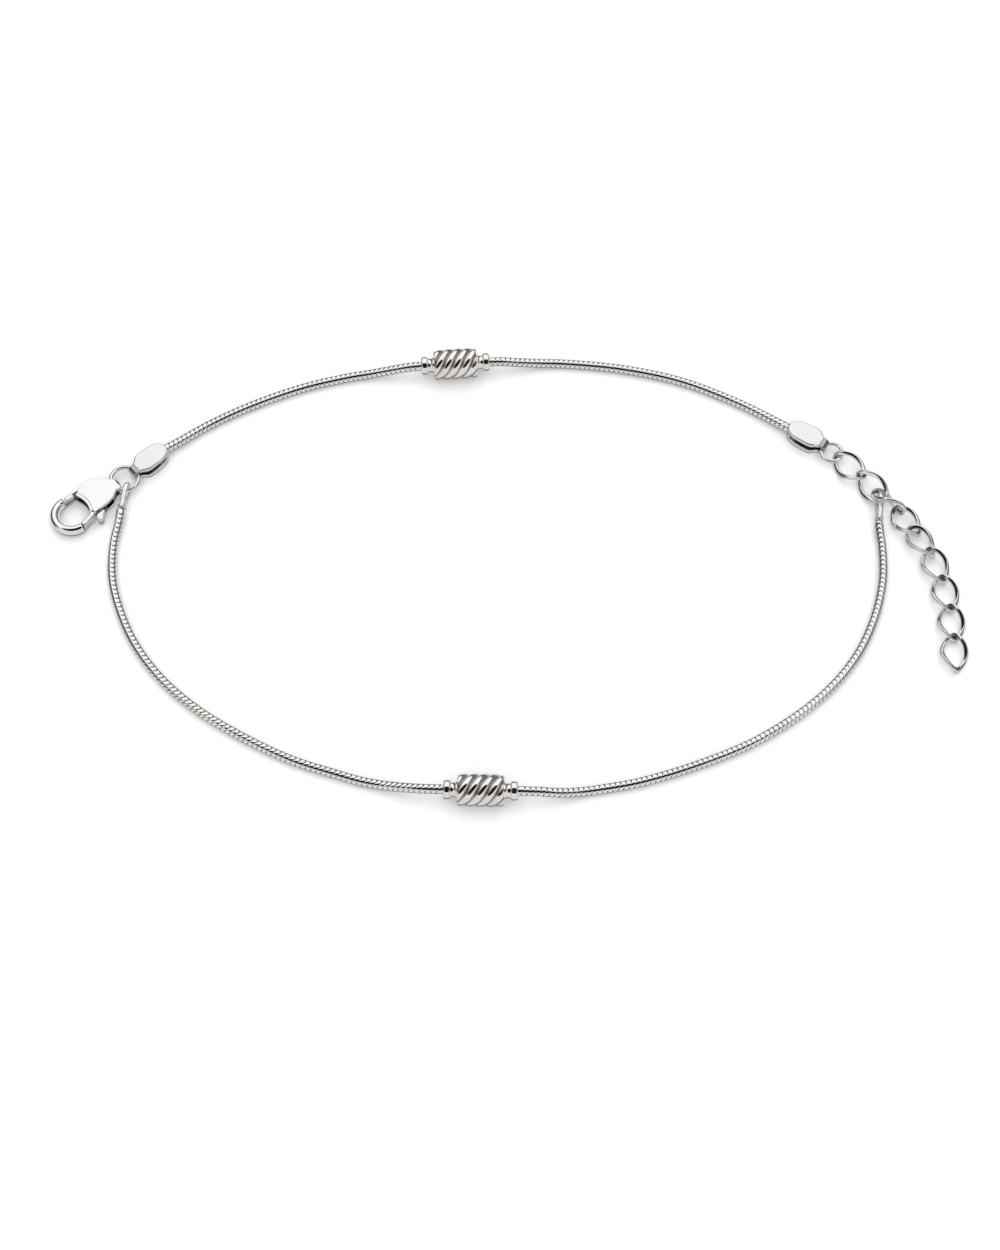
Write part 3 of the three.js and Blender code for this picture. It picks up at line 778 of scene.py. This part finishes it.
def clasp_body():
    shells = Shells()
    plate = clasp_outline(4.3, (2.6, 2.2), [(2.55, -2.2), (3.7, -2.15), (5.1, -2.0), (6.05, -1.75)])
    lip = clasp_outline(3.95, (2.4, 2.2), [(2.5, -2.1), (3.7, -2.05), (5.1, -1.9), (6.0, -1.65)])
    shells.slab(plate, TOP_PLATE, bevel=0.11, lift=neck_drop)
    shells.slab(plate, BOTTOM_PLATE, bevel=0.11, lift=neck_drop)
    shells.slab(lip, TOP_LIP, bevel=0.07, lift=neck_drop)
    # The lower lip is painted dark with shade, for the shaded inside of the body seen through the
    # hollow edge
    shells.slab(lip, BOTTOM_LIP, bevel=0.07, lift=neck_drop, painted_shade=0.95)
    # The walls between the plates are painted dark with shade
    wall = [(4.5, 2.7), (4.7, 2.35), (5.6, 1.95), (6.1, 1.2), (6.1, -1.6), (7.1, -0.85),
            (7.85, -0.8), (8.2, -0.25), (8.25, 0.55), (8.0, 0.9), (7.4, 1.0), (7.1, 1.35),
            (5.85, 2.4), (5.05, 2.7)]
    shells.slab(wall, WALLS, bevel=0.04, segments=1, painted_shade=0.85)
    arm = [(0.06, -2.08), (1.0, -1.95), (1.9, -1.75), (2.2, -1.3), (3.05, -1.0), (3.05, -1.95),
           (2.55, -2.2), (2.2, -2.35), (1.1, -2.68), (0.06, -2.97)]
    shells.slab(arm, ARM, bevel=0.34, segments=5)
    add_hook(shells)
    # The arc ends where it starts, and the outline has that point once
    pin = arc(*PIVOT, PIN_RADIUS, 0, 360, 25)[:-1]
    shells.slab(pin, PIN, bevel=0.02, segments=1)
    shells.piece("clasp_shell", CLASP, POLISHED, "bracelet", "polished_silver", ["clasp_body"])


def gate_end(y):
    """Point of the gate's round end at this y."""
    return (PIVOT[0] - math.sqrt(GATE_REACH ** 2 - (y - PIVOT[1]) ** 2), y)


def clasp_lever():
    shells = Shells()
    blade = [gate_end(2.1), (1.8, 2.1), (2.4, 1.95), (3.2, 1.3), (3.5, 0.6), (3.4, -0.5),
             (3.3, -2.3), (4.0, -2.4), (4.6, -2.15), (5.7, 0.38), (5.8, 0.8), (5.51, 1.51),
             (4.8, 1.8), (4.4, 1.72), (3.3, 2.85), gate_end(2.85)]
    gate = [gate_end(2.1), (1.9, 2.1), (1.9, 2.85), gate_end(2.85)]
    tab = [(2.5, -2.55), (2.4, -3.1), (2.45, -3.35), (2.6, -3.5), (2.85, -3.55), (3.1, -3.42),
           (3.35, -3.1), (4.0, -2.5), (3.9, -2.1), (3.1, -2.1)]
    # The blade, inside the body between the plates, is painted dark with shade
    shells.slab(blade, BLADE, bevel=0.05, segments=2, painted_shade=0.9)
    shells.slab(gate, GATE, bevel=0.14)
    shells.slab(tab, THUMB_TAB, bevel=0.2, segments=4)
    shells.piece("clasp_gate", CLASP, TAG, "lever", "polished_silver", ["clasp_lever"])


clasp_body()
clasp_lever()


# ---- Floor, light and camera -----------------------------------------------------------------------

# Metres, degrees, and millimetres for the lens and its sensor
CAMERA_ELEVATION = 61.0
CAMERA_DISTANCE = 0.35
TARGET = Vector((0.0, -0.008, 0.0)) + Vector(SHIFT)
LENS = 72.0
SENSOR_WIDTH = 36.0
FLOOR_SIZE = 6.0
LENS_CARD_RADIUS = 0.245
LENS_CARD_STRETCH = 1.3
LENS_CARD_BEHIND = 0.02


def towards(azimuth, elevation):
    """A direction, its azimuth anticlockwise from +X."""
    a, e = math.radians(azimuth), math.radians(elevation)
    return Vector((math.cos(e) * math.cos(a), math.cos(e) * math.sin(a), math.sin(e)))


def plain_material(name, colour):
    material = bpy.data.materials.new(name)
    material.use_nodes = True
    shader = material.node_tree.nodes["Principled BSDF"]
    shader.inputs["Base Color"].default_value = (*colour, 1)
    shader.inputs["Roughness"].default_value = 0.9
    shader.inputs["Specular IOR Level"].default_value = 0.1
    return material


def add_floor():
    bpy.ops.mesh.primitive_plane_add(size=FLOOR_SIZE)
    floor = bpy.context.object
    floor.name = "floor"
    floor.data.materials.append(plain_material("pale_floor", (0.93, 0.93, 0.93)))
    floor.visible_glossy = False


def add_lens_card():
    """The dark oval of camera and lens that polished metal mirrors, just behind the camera."""
    bpy.ops.mesh.primitive_circle_add(vertices=64, radius=LENS_CARD_RADIUS, fill_type="NGON")
    card = bpy.context.object
    card.name = "lens_card"
    card.scale = (LENS_CARD_STRETCH, 1.0, 1.0)
    direction = towards(-90, CAMERA_ELEVATION)
    card.location = TARGET + direction * (CAMERA_DISTANCE + LENS_CARD_BEHIND)
    card.rotation_euler = (math.radians(90 - CAMERA_ELEVATION), 0, 0)
    card.data.materials.append(plain_material("dark_card", (0.01, 0.01, 0.01)))
    card.visible_camera = False
    card.visible_diffuse = False
    card.visible_shadow = False


class WorldNodes:
    """Brightness of the studio by direction, built from ramps of x, y and z."""

    def __init__(self, tree):
        self.tree = tree
        place = add_node(tree, "ShaderNodeTexCoord").outputs["Generated"]
        split = add_node(tree, "ShaderNodeSeparateXYZ")
        tree.links.new(place, split.inputs[0])
        self.x, self.y, self.z = split.outputs

    def feed(self, socket, value):
        if isinstance(value, float):
            socket.default_value = value
        else:
            self.tree.links.new(value, socket)

    def ramp(self, value, start, end, low, high):
        """low before start, high after end, and a smooth step between them."""
        node = add_node(self.tree, "ShaderNodeMapRange", interpolation_type="SMOOTHSTEP")
        for name, number in (("From Min", start), ("From Max", end), ("To Min", low), ("To Max", high)):
            node.inputs[name].default_value = number
        self.tree.links.new(value, node.inputs["Value"])
        return node.outputs["Result"]

    def math(self, operation, a, b):
        node = add_node(self.tree, "ShaderNodeMath", operation=operation)
        self.feed(node.inputs[0], a)
        self.feed(node.inputs[1], b)
        return node.outputs["Value"]

    def mix(self, factor, a, b):
        """a where the factor is 0 and b where it is 1."""
        node = add_node(self.tree, "ShaderNodeMix", data_type="FLOAT")
        self.feed(node.inputs["Factor"], factor)
        self.feed(node.inputs["A"], a)
        self.feed(node.inputs["B"], b)
        return node.outputs["Result"]


def add_world():
    """A white canopy above, a pale card in front, and a dark gap along the rest of the horizon.

    The gap climbs higher at the sides. It is darkest behind, and darker at the left than at the right.
    """
    world = bpy.data.worlds.new("studio")
    bpy.context.scene.world = world
    world.use_nodes = True
    nodes = WorldNodes(world.node_tree)
    background = world.node_tree.nodes["Background"]
    sideways = nodes.math("MULTIPLY", nodes.x, nodes.x)
    # How much of the canopy shows, by height, and its white from front to back
    canopy = nodes.ramp(nodes.math("SUBTRACT", nodes.z, sideways), 0.1, 0.3, 0.0, 1.0)
    white = nodes.ramp(nodes.y, -0.7, 0.6, 0.85, 1.05)
    # Brightness of the gap at the left and the right, and then behind
    side = nodes.mix(nodes.ramp(nodes.x, -0.4, 0.4, 0.0, 1.0), 0.09, 0.2)
    gap = nodes.mix(nodes.ramp(sideways, 0.0, 0.4, 0.0, 1.0), 0.04, side)
    # The table under the gap, the pale card in front, and shade straight down
    low = nodes.mix(nodes.ramp(nodes.z, -0.35, -0.05, 1.0, 0.0), gap, 0.8)
    low = nodes.mix(nodes.ramp(nodes.y, -0.6, -0.1, 1.0, 0.0), low, 0.74)
    low = nodes.mix(nodes.ramp(nodes.z, -0.93, -0.7, 1.0, 0.0), low, 0.26)
    world.node_tree.links.new(nodes.mix(canopy, low, white), background.inputs["Strength"])
    background.inputs["Color"].default_value = (1.0, 0.993, 0.986, 1)


def add_light(name, direction, distance, size, power):
    """A round light that is left out of reflections."""
    light = bpy.data.lights.new(name, "AREA")
    light.shape = "DISK"
    light.size = size
    light.energy = power
    lamp = bpy.data.objects.new(name, light)
    lamp.location = direction * distance
    lamp.rotation_euler = (-direction).to_track_quat("-Z", "Y").to_euler()
    lamp.visible_glossy = False
    bpy.context.scene.collection.objects.link(lamp)


def add_camera():
    camera = bpy.data.cameras.new("camera")
    camera.lens = LENS
    camera.sensor_width = SENSOR_WIDTH
    camera.clip_start = 0.01
    camera.clip_end = 20.0
    holder = bpy.data.objects.new("camera", camera)
    holder.location = TARGET + towards(-90, CAMERA_ELEVATION) * CAMERA_DISTANCE
    holder.rotation_euler = (math.radians(90 - CAMERA_ELEVATION), 0, 0)
    bpy.context.scene.collection.objects.link(holder)
    bpy.context.scene.camera = holder


add_floor()
add_world()
add_lens_card()
add_light("overhead_softbox", towards(88, 76), distance=1.2, size=2.0, power=8.0)
add_light("front_fill", towards(-90, 40), distance=1.2, size=1.6, power=4.0)
add_camera()
bpy.context.scene.view_settings.view_transform = "Standard"
